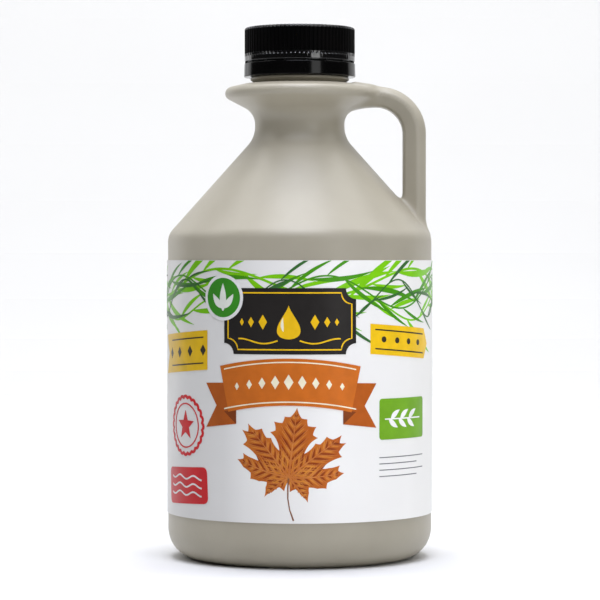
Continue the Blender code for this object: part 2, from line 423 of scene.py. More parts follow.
def jug_material():
    """Beige polyethylene: faintly mottled, satin, with the grain and parting line of a blow mould."""
    material, node, link, shader = new_material("jug_polyethylene")
    link(mottled(node, link, 45.0, 3.0, *JUG_TONES), shader.inputs["Base Color"])
    noise = grained(node, link, shader, 900.0, 3.0, 0.10, 0.1 * MM)
    spread(node, link, noise, 0.34, 0.46, shader.inputs["Roughness"])
    aside = node("ShaderNodeMath", operation="ABSOLUTE")
    ridge = node("ShaderNodeMapRange", interpolation_type="SMOOTHSTEP")
    ridge.inputs["From Max"].default_value = PARTING_REACH
    ridge.inputs["To Min"].default_value = 1
    ridge.inputs["To Max"].default_value = 0
    parting = node("ShaderNodeBump", Strength=0.5, Distance=PARTING_HEIGHT)
    link(place_along(node, link, "Y"), aside.inputs[0])
    link(aside.outputs["Value"], ridge.inputs["Value"])
    link(ridge.outputs["Result"], parting.inputs["Height"])
    link(shader.inputs["Normal"].links[0].from_socket, parting.inputs["Normal"])
    link(parting.outputs["Normal"], shader.inputs["Normal"])
    return material


def black_plastic(name):
    """Black polypropylene with a fine grain: the material, its node maker, linker, shader and noise."""
    material, node, link, shader = new_material(name)
    link(mottled(node, link, 60.0, 2.0, *BLACK_TONES), shader.inputs["Base Color"])
    noise = grained(node, link, shader, 1500.0, 2.0, 0.05, 0.03 * MM)
    return material, node, link, shader, noise


def cap_material():
    """The cap's black plastic. The ramp's red is its specular level and green its roughness."""
    material, node, link, shader, _ = black_plastic("cap_polypropylene")
    stops = [(height, (level, roughness, 0)) for height, level, roughness in CAP_SHEEN]
    both = node("ShaderNodeSeparateColor")
    link(ramp_along(node, link, "Z", 180 * MM, 202 * MM, stops), both.inputs["Color"])
    link(both.outputs["Red"], shader.inputs["Specular IOR Level"])
    link(both.outputs["Green"], shader.inputs["Roughness"])
    return material


def band_material(name, roughness, level):
    """Black plastic with a range of roughness and a specular level."""
    material, node, link, shader, noise = black_plastic(name)
    shader.inputs["Specular IOR Level"].default_value = level
    spread(node, link, noise, *roughness, shader.inputs["Roughness"])
    return material


def with_painted_shade(node, link, colour, shader):
    """Sends a colour to the shader, darkened by a painted shade towards the left and at the right edge, in
    place of light falling off.
    """
    stops = [(across, (share, share, share)) for across, share in LABEL_PAINTED_SHADE]
    both = node("ShaderNodeVectorMath", operation="MULTIPLY")
    link(colour, both.inputs[0])
    # The ramp along X scales the colour down: painted shade, not print
    link(ramp_along(node, link, "X", -BODY_RADIUS, BODY_RADIUS, stops), both.inputs[1])
    link(both.outputs["Vector"], shader.inputs["Base Color"])


def film_material():
    """White label film, faintly uneven."""
    material, node, link, shader = new_material("label_film")
    # The film's colour gets the painted shade towards the left and at the right edge
    with_painted_shade(node, link, mottled(node, link, 30.0, 2.0, *FILM_TONES), shader)
    noise = grained(node, link, shader, 500.0, 2.0, 0.06, 0.05 * MM)
    spread(node, link, noise, 0.3, 0.4, shader.inputs["Roughness"])
    return material


# Jug

def upper_outline():
    """The turned outline of the jug above the cut, closed past the axis, in (radius, height)."""
    past_axis = -20 * MM
    return rounded([
        (past_axis, COLLAR_FLAT_HEIGHT - MOAT_DEPTH, 0, 0),
        (MOAT_RADIUS, COLLAR_FLAT_HEIGHT - MOAT_DEPTH, MOAT_ROUNDING, 4),
        (COLLAR_FLAT_RADIUS, COLLAR_FLAT_HEIGHT, COLLAR_FLAT_ROUNDING, 6),
        (COLLAR_CORNER_RADIUS, COLLAR_CORNER_HEIGHT, COLLAR_ROUNDING, 12),
        (WAIST_RADIUS, WAIST_TOP_HEIGHT, WAIST_TOP_ROUNDING, 14),
        (WAIST_RADIUS, WAIST_FOOT_HEIGHT, WAIST_FOOT_ROUNDING, 10),
        (BODY_RADIUS, SHOULDER_HEIGHT, SHOULDER_ROUNDING, 12),
        (BODY_RADIUS, JUG_CUT_HEIGHT - BODY_RADIUS, 0, 0),
        (past_axis, JUG_CUT_HEIGHT - BODY_RADIUS, 0, 0),
    ])


def handle_section():
    """The handle's outline across its length: u away from the jug, v along Y."""
    half_thickness = HANDLE_THICKNESS / 2
    upper_half = [
        (half_thickness, HANDLE_FLANK_DEPTH / 2, HANDLE_ROUNDING, 6),
        (HANDLE_RIDGE_OFFSET, HANDLE_DEPTH / 2, HANDLE_RIDGE_ROUNDING, 5),
        (-half_thickness, HANDLE_FLANK_DEPTH / 2, HANDLE_ROUNDING, 6),
    ]
    lower_half = [(u, -v, radius, steps) for u, v, radius, steps in reversed(upper_half)]
    return rounded(upper_half + lower_half, closed=True)


def signed_distance(a, b, outline):
    """Distance of the points (a, b) to a closed outline, negative inside."""
    nearest = np.full(len(a), np.inf)
    inside = np.zeros(len(a), bool)
    for start, end in zip(outline, outline[1:] + outline[:1]):
        edge_a, edge_b = end.x - start.x, end.y - start.y
        from_a, from_b = a - start.x, b - start.y
        along = np.clip((from_a * edge_a + from_b * edge_b) / (edge_a**2 + edge_b**2), 0, 1)
        nearest = np.minimum(nearest, (from_a - along * edge_a) ** 2 + (from_b - along * edge_b) ** 2)
        if edge_b:
            crossing = (start.y > b) != (end.y > b)
            inside ^= crossing & (from_a < edge_a * from_b / edge_b)
    return np.where(inside, -1, 1) * np.sqrt(nearest)


def handle_distance(x, y, z, section):
    """Distance to the handle: an arm, a bend and an upright that share one section."""
    bend_x = HANDLE_X - HANDLE_BEND_RADIUS
    bend_z = HANDLE_ARM_HEIGHT - HANDLE_BEND_RADIUS
    upright = z < bend_z
    arm = ~upright & (x < bend_x)
    rise = HANDLE_ARM_RISE * (bend_x - x) / (bend_x - HANDLE_ARM_START)
    above_arm = z - HANDLE_ARM_HEIGHT - rise
    from_bend = np.hypot(x - bend_x, z - bend_z)
    outward = np.where(upright, x - HANDLE_X, np.where(arm, above_arm, from_bend - HANDLE_BEND_RADIUS))
    turn = np.where(upright, 1, np.where(arm, 0, (x - bend_x) / np.maximum(from_bend, 1e-9)))
    scale = HANDLE_ARM_SCALE + (1 - HANDLE_ARM_SCALE) * turn
    across = signed_distance(outward / scale, y / scale, section) * scale
    past_end = np.where(upright, HANDLE_FOOT_HEIGHT - z, HANDLE_ARM_START - x)
    return np.maximum(across, past_end)


def jug_field(points, outline, section):
    """Distance to the jug's skin, where body and handle flow into each other."""
    x, y, z = points.T
    body = signed_distance(np.hypot(x, y), z, outline)
    far_away = 1.0
    grip = np.full(len(x), far_away)
    near = x > HANDLE_ARM_START - 2 * ARM_BLEND
    grip[near] = handle_distance(x[near], y[near], z[near], section)
    blend = np.where(z > HANDLE_ARM_HEIGHT - HANDLE_BEND_RADIUS, ARM_BLEND, BLEND)
    share = np.maximum(blend - np.abs(body - grip), 0) / blend
    return np.minimum(body, grip) - share**2 * blend / 4


def settle(points, outline, section, rounds=4):
    """Moves points onto the jug's skin by Newton steps."""
    least_steepness = 0.2
    for _ in range(rounds):
        value = jug_field(points, outline, section)
        slope = np.stack([
            jug_field(points + PROBE * axis, outline, section) - value for axis in np.eye(3)
        ], axis=1) / PROBE
        steepness = np.maximum((slope**2).sum(axis=1), least_steepness)
        points = points - slope * (value / steepness)[:, None]
    return points


def jug_blank():
    """The CAD solid's upper part, remeshed into even small faces and open below."""
    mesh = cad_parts["jug"].data.copy()
    shape = bmesh.new()
    shape.from_mesh(mesh)
    bmesh.ops.remove_doubles(shape, verts=shape.verts, dist=WELD)
    ends = ((COLLAR_FLAT_HEIGHT, 1), (JUG_CUT_HEIGHT - BLANK_OVERLAP, -1))
    for height, side in ends:
        edge = cut(shape, (0, 0, height), (0, 0, side), clear_outer=True)
        rim = [part for part in edge if isinstance(part, bmesh.types.BMEdge)]
        bmesh.ops.holes_fill(shape, edges=rim)
    bmesh.ops.recalc_face_normals(shape, faces=shape.faces)
    blank = mesh_object("jug_blank", shape)
    remesh = blank.modifiers.new("remesh", "REMESH")
    remesh.mode = "VOXEL"
    remesh.voxel_size = JUG_VOXEL
    graph = bpy.context.evaluated_depsgraph_get()
    graph.update()
    fine = bmesh.new()
    fine.from_mesh(bpy.data.meshes.new_from_object(blank.evaluated_get(graph)))
    bpy.data.objects.remove(blank)
    cut(fine, (0, 0, JUG_CUT_HEIGHT), (0, 0, -1), clear_outer=True, dist=0.1 * MM)
    return fine


def lower_outline():
    """Below the cut: the wall behind the label, the heel, the foot ring and the underside."""
    steps = 20
    heel = [
        Vector((
            FOOT_RADIUS + (BODY_RADIUS - FOOT_RADIUS) * cos(pi / 2 * step / steps),
            HEEL_HEIGHT * (1 - sin(pi / 2 * step / steps)),
        ))
        for step in range(steps + 1)
    ]
    ring_inside = FOOT_RADIUS - FOOT_RING_WIDTH
    underside = rounded([
        (FOOT_RADIUS, 0, 0, 0),
        (ring_inside, 0, FOOT_RING_ROUNDING, 4),
        (ring_inside - UNDERSIDE_RISE, UNDERSIDE_RISE * UNDERSIDE_STEP_SHARE, UNDERSIDE_ROUNDING, 5),
        (0, UNDERSIDE_RISE, 0, 0),
    ])
    wall = [Vector((BODY_RADIUS, LABEL_TOP * share)) for share in (0.75, 0.5, 0.25)]
    return wall + [Vector((BODY_RADIUS, LABEL_BOTTOM))] + heel + underside[1:]


def add_jug():
    """The jug's skin: the settled upper part, continued below in rings down to the underside."""
    shape = jug_blank()
    places = np.array([vert.co for vert in shape.verts])
    places = settle(places, upper_outline(), handle_section())
    for vert, place in zip(shape.verts, places):
        vert.co = place
    rim = {vert for edge in shape.edges if edge.is_boundary for vert in edge.verts}
    ring = sorted(rim, key=lambda vert: atan2(vert.co.y, vert.co.x))
    for vert in ring:
        vert.co.z = JUG_CUT_HEIGHT
        vert.co.xy = vert.co.xy.normalized() * BODY_RADIUS
    for radius, height in lower_outline():
        if radius == 0:
            centre = shape.verts.new((0, 0, height))
            for first, second in zip(ring, ring[1:] + ring[:1]):
                shape.faces.new((first, centre, second))
            continue
        lower = [shape.verts.new((*(vert.co.xy.normalized() * radius), height)) for vert in ring]
        for index, vert in enumerate(ring):
            after = (index + 1) % len(ring)
            shape.faces.new((vert, lower[index], lower[after], ring[after]))
        ring = lower
    bmesh.ops.recalc_face_normals(shape, faces=shape.faces)
    jug = mesh_object("jug_skin", shape)
    shade(jug, radians(60))
    dress(jug, jug_material(), "jug")


def add_neck():
    """The neck under the cap: a bead that shows below the band, and the plain bore wall above it."""
    root_radius = NECK_BEAD_RADIUS - NECK_BEAD_TAPER
    root_bottom = COLLAR_FLAT_HEIGHT - 2 * MM
    outline = rounded([
        (0, NECK_TOP, 0, 0),
        (NECK_RADIUS, NECK_TOP, NECK_ROUNDING, 4),
        (NECK_RADIUS, BAND_BOTTOM, 0, 0),
        (NECK_BEAD_RADIUS, NECK_BEAD_TOP, NECK_BEAD_ROUNDING, 3),
        (NECK_BEAD_RADIUS, NECK_BEAD_BOTTOM, NECK_BEAD_ROUNDING, 3),
        (root_radius, COLLAR_FLAT_HEIGHT - 0.3 * MM, 0, 0),
        (root_radius, root_bottom, 0, 0),
        (0, root_bottom, 0, 0),
    ])
    neck = turned("neck_bead", outline, 256)
    shade(neck)
    dress(neck, jug_material(), "jug")


# Cap and tamper band

def add_cap():
    """The screw cap: ribbed above, with scooped rib ends, a smooth ring below, and a lip inside the band."""
    samples_per_rib = 16
    scoop = 1.1 * MM
    notch_height, notch_gain = 0.8 * MM, 2.4
    groove_mouth, groove_flank = 0.62, 0.36
    ribbed_rim = 0.9 * MM
    bore_top = NECK_TOP + GAP
    chamfer = 0.2 * MM
    groove_end = RIB_BOTTOM - 0.4 * MM
    side = [groove_end + scoop * (1 - share**1.5) for share in (0, 0.15, 0.3, 0.45, 0.6, 0.75, 0.9, 1)]
    outline = rounded([
        (0, CAP_TOP, 0, 0),
        (4 * MM, CAP_TOP, 0, 0),
        (CAP_RADIUS - 2.4 * MM, CAP_TOP, 0, 0),
        (CAP_RADIUS - 1.6 * MM, CAP_TOP, 0, 0),
        (CAP_RADIUS, CAP_TOP, CAP_EDGE_ROUNDING, 6),
        (CAP_RADIUS, CAP_TOP - 5 * MM, 0, 0),
        *[(CAP_RADIUS, height, 0, 0) for height in side],
        (CAP_RADIUS, CAP_SKIRT_BOTTOM + 0.3 * MM, 0, 0),
        (CAP_RADIUS, CAP_SKIRT_BOTTOM, chamfer, 6),
        (CAP_LIP_RADIUS, CAP_SKIRT_BOTTOM, 0, 0),
        (CAP_LIP_RADIUS, CAP_LIP_BOTTOM, 0, 0),
        (CAP_BORE_RADIUS, CAP_LIP_BOTTOM, 0, 0),
        (CAP_BORE_RADIUS, bore_top, 0, 0),
        (0, bore_top, 0, 0),
    ])

    def with_ribs(radius, height, angle, index):
        inside = index > len(outline) - 6
        if inside or height < groove_end + 1e-7 or radius < CAP_RADIUS - ribbed_rim:
            return radius
        from_groove = abs((angle * RIB_COUNT / (2 * pi) + 0.5) % 1 - 0.5) * 2
        share = min(max((groove_mouth - from_groove) / groove_flank, 0), 1)
        depth = share * share * (3 - 2 * share)
        rise = min((height - groove_end) / scoop, 1)
        notch = 1 + notch_gain * max(height - CAP_TOP + notch_height, 0) / notch_height
        return radius - RIB_DEPTH * notch * depth * (1 - (1 - rise) ** 2) ** 0.5

    cap = turned("cap_shell", outline, RIB_COUNT * samples_per_rib, with_ribs)
    shade(cap)
    dress(cap, cap_material(), "cap")


def add_band():
    """The tamper band and the small bridges that hold it to the cap."""
    outline = rounded([
        (BAND_RADIUS_TOP, BAND_TOP, BAND_EDGE_ROUNDING, 6),
        (BAND_RADIUS_TOP + 0.01 * MM, BAND_TOP - 0.5 * MM, 0, 0),
        (BAND_RADIUS_BOTTOM - 0.01 * MM, BAND_BOTTOM + 0.5 * MM, 0, 0),
        (BAND_RADIUS_BOTTOM, BAND_BOTTOM, BAND_EDGE_ROUNDING, 6),
        (CAP_BORE_RADIUS, BAND_BOTTOM, 0, 0),
        (CAP_BORE_RADIUS, CAP_LIP_BOTTOM - GAP, 0, 0),
        (CAP_LIP_RADIUS + GAP, CAP_LIP_BOTTOM - GAP, 0, 0),
        (CAP_LIP_RADIUS + GAP, BAND_TOP, 0, 0),
    ], closed=True)
    band = turned("band_ring", outline, 320, closed=True)
    shade(band)
    dress(band, band_material("band_polypropylene", (0.11, 0.16), 0.18), "tamper_band")
    bridge_count = 16
    bridge_circle = BAND_RADIUS_TOP - 0.6 * MM
    bridge_sizes = {"segments": 12, "radius1": 0.55 * MM, "radius2": 0.35 * MM, "depth": 1.1 * MM}
    shape = bmesh.new()
    for number in range(bridge_count):
        angle = 2 * pi * (number + 0.3) / bridge_count
        made = bmesh.ops.create_cone(shape, cap_ends=True, **bridge_sizes)
        middle = Vector((
            bridge_circle * cos(angle),
            bridge_circle * sin(angle),
            (BAND_TOP + CAP_SKIRT_BOTTOM) / 2,
        ))
        bmesh.ops.translate(shape, verts=made["verts"], vec=middle)
    bridges = mesh_object("band_bridges", shape)
    shade(bridges)
    dress(bridges, band_material("bridge_polypropylene", (0.2, 0.3), 0.3))


# Label

LABEL_STEPS = 360
LABEL_ROWS = 40
WAVE_DEPTH = 0.02 * MM


def label_radius(angle, height):
    """The label's outer radius, very slightly wavy, as film on a blown wall is."""
    wave = sin(3 * angle + height / (23 * MM)) + sin(5 * angle - height / (13 * MM))
    return LABEL_RADIUS + WAVE_DEPTH * wave


def add_label():
    """The label's sleeve of white film."""
    heights = [LABEL_TOP + (LABEL_BOTTOM - LABEL_TOP) * row / LABEL_ROWS for row in range(LABEL_ROWS + 1)]
    outline = [Vector((LABEL_RADIUS, height)) for height in heights]
    outline += [Vector((LABEL_INNER_RADIUS, LABEL_BOTTOM)), Vector((LABEL_INNER_RADIUS, LABEL_TOP))]

    def wavy(radius, height, angle, index):
        return label_radius(angle, height) if index <= LABEL_ROWS else radius

    label = turned("label_sleeve", outline, LABEL_STEPS, wavy, closed=True)
    shade(label)
    dress(label, film_material(), "label")


# Print. Its places are (arc, height): arc along the label to the right of the front's middle

LAYER = 0.035 * MM
PRINT_SINK = 0.02 * MM
PRINT_STEPS = (1.7 * MM, 9 * MM)
PRINT_MARGIN = 0.15 * MM
SEAM_ARC = pi * LABEL_RADIUS
SEAM_MARGIN = 0.1 * MM
INK_LEVEL = 0.2
MIDDLE = -4 * MM


def on_label(arc, height, lift):
    angle = arc / LABEL_RADIUS - pi / 2
    radius = label_radius(angle, height) + lift
    return radius * cos(angle), radius * sin(angle), height


def mm(*pairs):
    """Points in metres from pairs in millimetres."""
    return [Vector((a * MM, b * MM)) for a, b in pairs]


def bent_to_label(flat, lift):
    """The points and faces of a thin closed solid: a flat bmesh laid on the label."""
    for axis, step in enumerate(PRINT_STEPS):
        places = [vert.co[axis] for vert in flat.verts]
        normal = [0, 0, 0]
        normal[axis] = 1
        for number in range(ceil(min(places) / step), ceil(max(places) / step)):
            middle = [0, 0, 0]
            middle[axis] = number * step
            cut(flat, middle, normal, dist=0.01 * MM)
    edges = (
        ((0, LABEL_TOP - PRINT_MARGIN, 0), (0, 1, 0)),
        ((SEAM_ARC - SEAM_MARGIN, 0, 0), (1, 0, 0)),
        ((-SEAM_ARC, 0, 0), (-1, 0, 0)),
    )
    for place, outward in edges:
        cut(flat, place, outward, clear_outer=True)
    flat.verts.index_update()
    count = len(flat.verts)
    points = [on_label(vert.co.x, vert.co.y, lift) for vert in flat.verts]
    points += [on_label(vert.co.x, vert.co.y, -PRINT_SINK) for vert in flat.verts]
    faces = []
    for face in flat.faces:
        corners = [vert.index for vert in face.verts]
        faces.append(corners)
        faces.append([corner + count for corner in reversed(corners)])
        for loop in face.loops:
            if loop.edge.is_boundary:
                first, second = loop.vert.index, loop.link_loop_next.vert.index
                faces.append([second, first, first + count, second + count])
    return points, faces


def add_print(name, layer, material, shapes):
    """One piece of ink. A shape is an outline, counter-clockwise, or a strip's (points, faces)."""
    points, faces = [], []
    for shape in shapes:
        corners, sides = shape if isinstance(shape, tuple) else (shape, [range(len(shape))])
        flat = bmesh.new()
        verts = [flat.verts.new((*corner, 0)) for corner in corners]
        for side in sides:
            flat.faces.new([verts[corner] for corner in side])
        flat.normal_update()
        bmesh.ops.triangulate(flat, faces=flat.faces[:])
        new_points, new_faces = bent_to_label(flat, layer * LAYER)
        flat.free()
        faces += [[corner + len(points) for corner in face] for face in new_faces]
        points += new_points
    piece = object_from(name, points, faces)
    shade(piece)
    dress(piece, material)


def strip(spine, widths, closed=False):
    """A band of ink along a spine, with its width at each point."""
    count = len(spine)
    points = []
    for index, (place, width) in enumerate(zip(spine, widths)):
        before = spine[index - 1] if index or closed else place
        after = spine[(index + 1) % count] if index < count - 1 or closed else place
        along = (after - before).normalized()
        across = Vector((-along.y, along.x)) * max(width, 0.02 * MM) / 2
        points += [place - across, place + across]
    pairs = [(index, (index + 1) % count) for index in range(count if closed else count - 1)]
    faces = [(2 * first, 2 * second, 2 * second + 1, 2 * first + 1) for first, second in pairs]
    return points, faces


def line(spine, width):
    return strip(spine, [width] * len(spine))


def blade(start, angle, length, width, bend=0.0, steps=10):
    """A narrow pointed leaf that starts at an angle in degrees and curves by bend degrees."""
    spine, widths = [start.copy()], [0.15 * width]
    for step in range(1, steps + 1):
        share = step / steps
        heading = radians(angle + bend * share)
        spine.append(spine[-1] + Vector((cos(heading), sin(heading))) * length / steps)
        widths.append(width * sin(pi * share**0.8) ** 0.9 if step < steps else 0)
    return strip(spine, widths)


def disc(centre, radius, steps=48):
    return [
        centre + Vector((cos(2 * pi * step / steps), sin(2 * pi * step / steps))) * radius
        for step in range(steps)
    ]


def ring(centre, radius, width, steps=72, scallops=0, depth=0.0):
    """A closed ring, scalloped if asked."""
    spine = [
        centre + Vector((cos(angle), sin(angle))) * (radius + depth * abs(cos(scallops * angle / 2)))
        for angle in (2 * pi * step / steps for step in range(steps))
    ]
    return strip(spine, [width] * steps, closed=True)


def star(centre, outer, inner, tips, turn=90):
    corners = []
    for number in range(2 * tips):
        angle = radians(turn) + pi * number / tips
        corners.append(centre + Vector((cos(angle), sin(angle))) * (inner if number % 2 else outer))
    return corners


def diamond(centre, width, height):
    return [centre + offset for offset in (
        Vector((width / 2, 0)), Vector((0, height / 2)), Vector((-width / 2, 0)), Vector((0, -height / 2)))]


def turned_about(points, centre, degrees_turned):
    """Points, or a strip's points, turned about a centre."""
    if isinstance(points, tuple):
        return turned_about(points[0], centre, degrees_turned), points[1]
    angle = radians(degrees_turned)
    return [
        centre + Vector((
            (point - centre).x * cos(angle) - (point - centre).y * sin(angle),
            (point - centre).x * sin(angle) + (point - centre).y * cos(angle),
        ))
        for point in points
    ]


def panel(left, bottom, right, top, corner, steps=5):
    """A rectangle with rounded corners."""
    return rounded([
        (left, bottom, corner, steps), (right, bottom, corner, steps),
        (right, top, corner, steps), (left, top, corner, steps),
    ], closed=True)


def scooped(left, bottom, right, top, corner, steps=6):
    """A rectangle whose corners are cut in by a quarter circle."""
    points = []
    for number, (a, b) in enumerate(((right, top), (left, top), (left, bottom), (right, bottom))):
        for step in range(steps + 1):
            angle = pi * 1.5 + pi / 2 * number - pi / 2 * step / steps
            points.append(Vector((a + corner * cos(angle), b + corner * sin(angle))))
    return points


def ink(name, screen_colour, roughness=0.3):
    """Printed ink of a screen colour, a little uneven."""
    material, node, link, shader = new_material(name)
    colour = np.array(srgb(*screen_colour))
    # The ink's colour gets the same painted shade as the film, towards the left and at the right edge
    with_painted_shade(node, link, mottled(node, link, 220.0, 2.0, colour * 0.94, np.minimum(colour * 1.05, 1)), shader)
    shader.inputs["Roughness"].default_value = roughness
    shader.inputs["Specular IOR Level"].default_value = INK_LEVEL
    return material


def leaf_ink(name, low, high):
    """The leaf's ink: two autumn colours that run into each other, with a fine fibre."""
    material, node, link, shader = new_material(name)
    # The leaf's colour gets the same painted shade as the film, towards the left and at the right edge
    with_painted_shade(node, link, mottled(node, link, 160.0, 5.0, srgb(*low), srgb(*high)), shader)
    shader.inputs["Roughness"].default_value = 0.32
    shader.inputs["Specular IOR Level"].default_value = INK_LEVEL
    return material


# The garland's stems: (middle height and swing in mm, waves round the label, start in radians)
STEMS = [
    (101.0, 6.0, 5, 0.6),
    (98.5, 7.0, 7, 2.3),
    (104.5, 5.0, 4, 4.0),
    (95.0, 4.5, 6, 5.2),
]
LEAF_TURN_LIMIT = 46


def stem_place(stem, arc):
    """A point of a garland's stem and its slope there, in degrees."""
    middle, swing, waves, start = stem
    turn = waves * arc / LABEL_RADIUS + start
    place = Vector((arc, (middle + swing * sin(turn)) * MM))
    return place, degrees(atan2(swing * MM * waves / LABEL_RADIUS * cos(turn), 1))


def add_garland():
    """The band round the label's top: four wavy stems with narrow leaves.

    A plan is (stem, shade, pitch, leaf length, leaf width, lean in degrees, stem width), its sizes in mm.
    """
    greens = {
        "bright": ink("ink_green_bright", (128, 208, 18)),
        "mid": ink("ink_green_mid", (72, 152, 20)),
        "dark": ink("ink_green_dark", (60, 112, 54)),
    }
    leaves = {"bright": [], "mid": [], "dark": []}
    plans = [
        (STEMS[2], "bright", 6.0, 26, 2.0, 24, 0.9),
        (STEMS[3], "bright", 9.0, 20, 1.7, 34, 0.7),
        (STEMS[0], "mid", 6.5, 24, 1.6, 26, 0.6),
        (STEMS[1], "dark", 7.0, 20, 1.1, 30, 0.5),
    ]
    for stem, shade_name, pitch, length, width, lean, stem_width in plans:
        steps = 220
        spine = [stem_place(stem, -SEAM_ARC + 2 * SEAM_ARC * step / steps)[0] for step in range(steps + 1)]
        leaves[shade_name].append(line(spine, stem_width * MM))
        count = int(2 * SEAM_ARC / (pitch * MM))
        for number in range(count):
            arc = -SEAM_ARC + 2 * SEAM_ARC * (number + 0.5) / count
            place, slope = stem_place(stem, arc)
            side = 1 if number % 2 else -1
            size = 0.7 + 0.5 * ((number * 7) % 5) / 4
            lift = side * (lean + 6 * ((number * 3) % 4))
            turn = max(-LEAF_TURN_LIMIT, min(LEAF_TURN_LIMIT, slope + lift))
            leaf = blade(place, turn, length * size * MM, width * size * MM, -side * 24)
            leaves[shade_name].append(leaf)
    for layer, (shade_name, shapes) in enumerate(leaves.items(), start=1):
        add_print("print_garland_" + shade_name, layer, greens[shade_name], shapes)


# The corners of the maple leaf's right half, from its foot to its tip
MAPLE_HALF = [
    (0, -1.6), (1.3, -6.0), (3.7, -4.6), (6.4, -6.9), (10.6, -10.2), (10.0, -6.0), (9.4, -3.7),
    (13.2, -4.3), (17.4, -4.6), (17.0, -2.0), (20.4, -0.9), (23.0, 1.4), (19.9, 2.9), (19.8, 5.2),
    (15.6, 4.5), (12.6, 4.4), (15.2, 7.2), (19.5, 8.9), (17.5, 11.3), (19.2, 15.0), (16.8, 15.2),
    (16.6, 18.6), (13.9, 16.9), (11.4, 18.2),
    (9.8, 14.9), (8.0, 15.2), (6.6, 12.4), (4.7, 10.6), (6.2, 15.2), (8.4, 17.6), (6.5, 18.8), (7.1, 22.3),
    (4.3, 22.4), (3.7, 25.2), (1.8, 25.4), (0, 29.6),
]
# The main veins' tips, and how far apart their side veins start
MAPLE_VEINS = [
    ((0, 28.4), 3.6), ((15.6, 16.6), 3.2), ((-15.6, 16.6), 3.2), ((21.6, 1.5), 3.2), ((-21.6, 1.5), 3.2),
    ((9.6, -8.8), 3.0), ((-9.6, -8.8), 3.0),
]


def bowed(corners, sag, steps=4):
    """The outline through the corners, its sides bowed inwards by a share of their length."""
    points = []
    for start, end in zip(corners, corners[1:]):
        along = end - start
        inward = Vector((-along.y, along.x))
        for step in range(steps):
            share = step / steps
            points.append(start + along * share + inward * sag * 4 * share * (1 - share))
    return points + [corners[-1]]


def leaf_on_label(centre, size, turn):
    """How a point of the maple leaf's plan goes onto the label."""
    def place(a, b):
        bent = Vector((a + 0.012 * a * b, b + 0.006 * a * a)) * size * MM
        return turned_about([centre + bent], centre, turn)[0]
    return place


def reach_inside(start, heading, outline):
    """How far a ray runs from a point to the outline."""
    nearest = 1.0
    for first, second in zip(outline, outline[1:] + outline[:1]):
        edge = second - first
        across = heading.cross(edge)
        if across:
            along = (first - start).cross(edge) / across
            share = (first - start).cross(heading) / across
            if 0 <= share <= 1 and along > 0:
                nearest = min(nearest, along)
    return nearest


def add_maple_leaf():
    """The maple leaf: its blade, the dark and light flanks of its folds, and its pale veins and stem."""
    place = leaf_on_label(Vector((MIDDLE, 34 * MM)), 0.86, -7)
    half = bowed([Vector(corner) for corner in MAPLE_HALF], 0.05)
    other_half = [Vector((-a, b)) for a, b in reversed(half[1:-1])]
    outline = [place(*corner) for corner in half + other_half]
    add_print("print_leaf", 1, leaf_ink("ink_leaf", (206, 116, 40), (184, 88, 26)), [outline])
    darks, lights, veins = [], [], []
    for (a, b), pitch in MAPLE_VEINS:
        steps = 8
        spine = [place(a * step / steps, b * step / steps) for step in range(steps + 1)]
        veins.append(strip(spine, [0.75 * MM * (1 - 0.85 * step / steps) for step in range(steps + 1)]))
        length = (a * a + b * b) ** 0.5
        count = int(length / pitch)
        for number in range(1, count + 1):
            share = (number - 0.3) / (count + 0.6)
            root = place(a * share, b * share)
            beyond = place(a * (share + 0.05), b * (share + 0.05))
            along = degrees(atan2((beyond - root).y, (beyond - root).x))
            for side in (-1, 1):
                heading = along + side * 38
                ray = Vector((cos(radians(heading)), sin(radians(heading))))
                run = min(reach_inside(root, ray, outline) * 0.88, 8.5 * MM)
                aside = Vector((-ray.y, ray.x)) * side
                veins.append(strip([root, root + ray * run], [0.34 * MM, 0.08 * MM]))
                darks.append(blade(root - aside * 0.55 * MM, heading, run * 0.9, 0.8 * MM, side * 4, 6))
                lights.append(blade(root + aside * 0.5 * MM, heading, run * 0.8, 0.6 * MM, side * 4, 6))
    stem = [place(*corner) for corner in ((0, 0.4), (0.2, -4.4), (0.8, -8.8), (2.4, -13.4), (5.4, -18.0))]
    add_print("print_leaf_shade", 2, leaf_ink("ink_leaf_shade", (158, 70, 20), (138, 58, 16)), darks)
    add_print("print_leaf_light", 3, leaf_ink("ink_leaf_light", (224, 146, 58), (208, 122, 42)), lights)
    add_print("print_leaf_veins", 4, leaf_ink("ink_leaf_vein", (216, 136, 66), (200, 112, 50)), veins)
    stem_strip = strip(stem, [0.7 * MM, 0.5 * MM, 0.42 * MM, 0.4 * MM, 0.6 * MM])
    add_print("print_leaf_stem", 4, leaf_ink("ink_leaf_stem", (150, 96, 64), (130, 80, 50)), [stem_strip])


